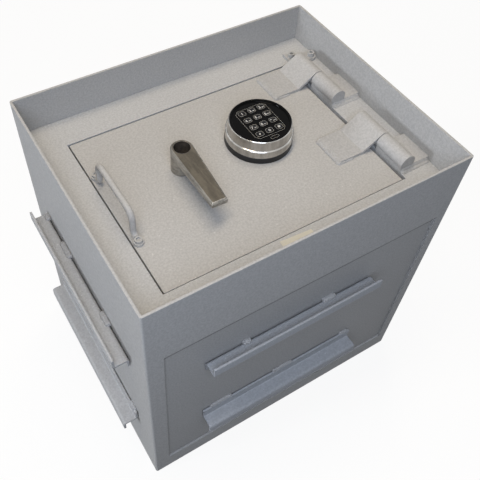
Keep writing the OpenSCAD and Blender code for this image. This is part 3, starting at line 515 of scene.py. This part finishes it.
def flat_plate(width, depth, corner, steps):
    """A flat rectangle with cut or rounded corners, left in edit mode."""
    bpy.ops.object.select_all(action="DESELECT")
    bpy.ops.mesh.primitive_plane_add(size=1.0)
    bpy.ops.object.mode_set(mode="EDIT")
    bpy.ops.transform.resize(value=(width, depth, 1.0), center_override=(0, 0, 0))
    bpy.ops.mesh.bevel(offset=corner, segments=steps, affect="VERTICES")
    bpy.ops.mesh.select_all(action="SELECT")
    return bpy.context.object


def raised(piece, thickness, place, turn=0.0):
    """Gives a flat plate its thickness and lays it in its place."""
    bpy.ops.mesh.select_all(action="SELECT")
    bpy.ops.mesh.extrude_region_move(TRANSFORM_OT_translate={"value": (0, 0, thickness)})
    bpy.ops.mesh.select_all(action="SELECT")
    bpy.ops.mesh.normals_make_consistent(inside=False)
    bpy.ops.object.mode_set(mode="OBJECT")
    piece.location = place
    piece.rotation_euler = (0, 0, turn)
    bpy.ops.object.transform_apply(location=True, rotation=True, scale=True)
    return piece


def printed_line(place, width, depth, corner, steps, line):
    """A thin flat line round a rectangle with cut or rounded corners."""
    loop = flat_plate(width, depth, corner, steps)
    bpy.ops.mesh.inset(thickness=line)
    bpy.ops.mesh.delete(type="FACE")
    return raised(loop, ink_depth, place)


def printed_word(text, size, place):
    """A digit or a few letters in the built-in font as a thin flat mesh."""
    bpy.ops.object.select_all(action="DESELECT")
    bpy.ops.object.text_add()
    word = bpy.context.object
    word.data.body = text
    word.data.size = size
    word.data.align_x, word.data.align_y = "CENTER", "CENTER"
    word.data.extrude = ink_depth / 2
    word.data.offset = size * word_weight
    bpy.ops.object.convert(target="MESH")
    word = bpy.context.object
    points = [point.co for point in word.data.vertices]
    low, high = [[pick(point[i] for point in points) for i in range(2)] for pick in (min, max)]
    word.location = (place[0] - (low[0] + high[0]) / 2, place[1] - (low[1] + high[1]) / 2,
                     place[2] + ink_depth / 2)
    bpy.ops.object.transform_apply(location=True, rotation=True, scale=True)
    return word


def inked(piece, name, material, body):
    """Names a printed piece, gives it its ink, and fixes it on a body."""
    piece.name = piece.data.name = name
    piece.data.materials.clear()
    piece.data.materials.append(material)
    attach(piece, body)


digit_size, letter_size, word_weight = 0.0056, 0.0020, 0.03
digit_left, letters_right, letters_down = 0.0023, 0.0020, 0.0013
for key, print_on_key in keys.items():
    low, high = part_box(key)
    x, y, top = (low[0] + high[0]) / 2, (low[1] + high[1]) / 2, high[2]
    cap = key + "_cap"
    outline = printed_line((x, y, top), width=0.0104, depth=0.0085, corner=0.0028, steps=5,
                           line=0.00038)
    inked(outline, key + "_outline", line_ink, cap)
    digit, *letters = print_on_key.split()
    digit_x = x - digit_left if letters else x
    inked(printed_word(digit, digit_size, (digit_x, y, top)), key + "_character", digit_ink, cap)
    for word in letters:
        inked(printed_word(word, letter_size, (x + letters_right, y - letters_down, top)),
              key + "_letters", digit_ink, cap)

low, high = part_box("keypad_face")
face_x, face_y = (low[0] + high[0]) / 2, (low[1] + high[1]) / 2
key_rise, oval_down = 0.0009, 0.03345
field_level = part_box("key_5")[1][2] - key_rise
field = printed_line((face_x, face_y, field_level), width=0.0462, depth=0.0563,
                     corner=0.0049, steps=1, line=0.00034)
inked(field, "panel_outline", line_ink, "door")
oval = printed_line((face_x, face_y - oval_down, field_level), width=0.0124, depth=0.0045,
                    corner=0.0022, steps=6, line=0.00034)
inked(oval, "oval_outline", line_ink, "door")

# The blank label: a strip of cream paper stuck to the front margin of the tray.
# It is a little askew, and faintly stained.
s, finish = blank_material("label_paper")
fibres = s.noise(0.0009, 4.0, 0.7)
stain = s.noise(0.012, 2.0, 0.6)
paper = finish(s.make("ShaderNodeBsdfPrincipled", {
    "Base Color": s.shaded((0.64, 0.62, 0.54), 0.90 + 0.12 * fibres + 0.08 * stain),
    "Roughness": 0.62 + 0.1 * fibres, "Specular IOR Level": 0.3}))
label_place, label_turn, paper_thickness = (-0.0035, -0.1476, tray_level), -0.07, 0.00015
label = flat_plate(width=0.0440, depth=0.0140, corner=0.0012, steps=4)
raised(label, paper_thickness, label_place, label_turn)
inked(label, "blank_label", paper, "safe_body")

# The lever: one casting with a tapered arm, in dull pewter, held by a screw in its hub.
# Its top is painted darker than its sides as painted shade, its tip edges are rubbed bright and
# partly a painted highlight, and its bore is painted dark as painted shade.
hub_x, hub_y, bore = -0.067006, 0.019, 0.0109
tip_from, tip_to, rubbed_highlight_width = 0.088, 0.096, 0.0008
side_pewter_painted_light, top_pewter_painted_dark = (0.31, 0.295, 0.265), (0.088, 0.078, 0.062)
bore_painted_shade, rubbed_and_highlight_pewter = (0.10, 0.085, 0.072), (0.82, 0.80, 0.75)
s, finish = blank_material("lever_pewter")
clouds = s.noise(0.012, 3.0, 0.65)
smudges = s.noise(0.003, 3.0, 0.6)
facing = s.make("ShaderNodeTexCoord", out="Normal")
# Painted shade: faces that look up get the darker top tone, the sides a lighter one.
upward = s.make("ShaderNodeSeparateXYZ", {"Vector": facing}, out="Z").rise(0.55, 0.92)
rub_marks = s.noise(0.0065, 3.0, 0.6, s.place((1.0, 0.18, 1.0))).rise(0.35, 0.65)
sharp = s.make("ShaderNodeVectorMath", {
    0: s.make("ShaderNodeBevel", {"Radius": rubbed_highlight_width}, samples=6),
    1: s.make("ShaderNodeNewGeometry", out="True Normal")}, out="Value", operation="DOT_PRODUCT")
off_x, off_y = s.coordinate("X") - hub_x, s.coordinate("Y") - hub_y
from_hub = off_x * off_x + off_y * off_y
toward_tip = 0.2 + 0.8 * from_hub.rise(tip_from ** 2, tip_to ** 2)
# Rubbed bright edges toward the tip, partly a painted highlight.
worn_edge_and_painted_highlight = (1 - sharp.rise(0.90, 0.995)) * s.noise(0.004, 2.0, 0.6).rise(0.32, 0.50) * toward_tip
# The bore is painted dark, a painted shade.
outside_bore = from_hub.rise(bore ** 2, (bore + 0.0003) ** 2)
metal = s.tint(outside_bore, bore_painted_shade, s.tint(upward, side_pewter_painted_light, top_pewter_painted_dark))
cast = s.shaded(metal, 0.32 + 0.45 * clouds + 0.40 * smudges + 0.45 * rub_marks)
pewter = finish(s.make("ShaderNodeBsdfPrincipled", {
    "Base Color": s.tint(worn_edge_and_painted_highlight, cast, rubbed_and_highlight_pewter), "Metallic": 0.65,
    "Roughness": 0.34 + 0.16 * clouds, "Normal": s.bump(smudges, 0.0002, 0.0007)}))
dress(pewter, "lever_handle")
dress(bare_steel("lever_screw_steel", (0.58, 0.58, 0.57), roughness=0.30), "lever_screw")

# The boltwork and the lock below the door: zinc-plated plates and screws, brass
# bush and lock bolt, ground steel bolts, and a die-cast lock case.
brass = bare_steel("turned_brass", (0.62, 0.44, 0.20), roughness=0.30)
zinc = bare_steel("zinc_plate", (0.36, 0.36, 0.35), roughness=0.44)
ground_steel = bare_steel("bolt_steel", (0.66, 0.66, 0.66), roughness=0.22, marks_along=0)
die_casting = bare_steel("lock_case", (0.50, 0.50, 0.50), roughness=0.45)
dress(brass, "lever_bush", "lock_bolt")
dress(zinc, "lever_spindle", "crank", "bolt_carriage", "carriage_guides", "boltwork_frame",
      "boltwork_cover", "cover_screws", "dead_bar", "lock_screws")
dress(ground_steel, "locking_bolts")
dress(die_casting, "lock_body")
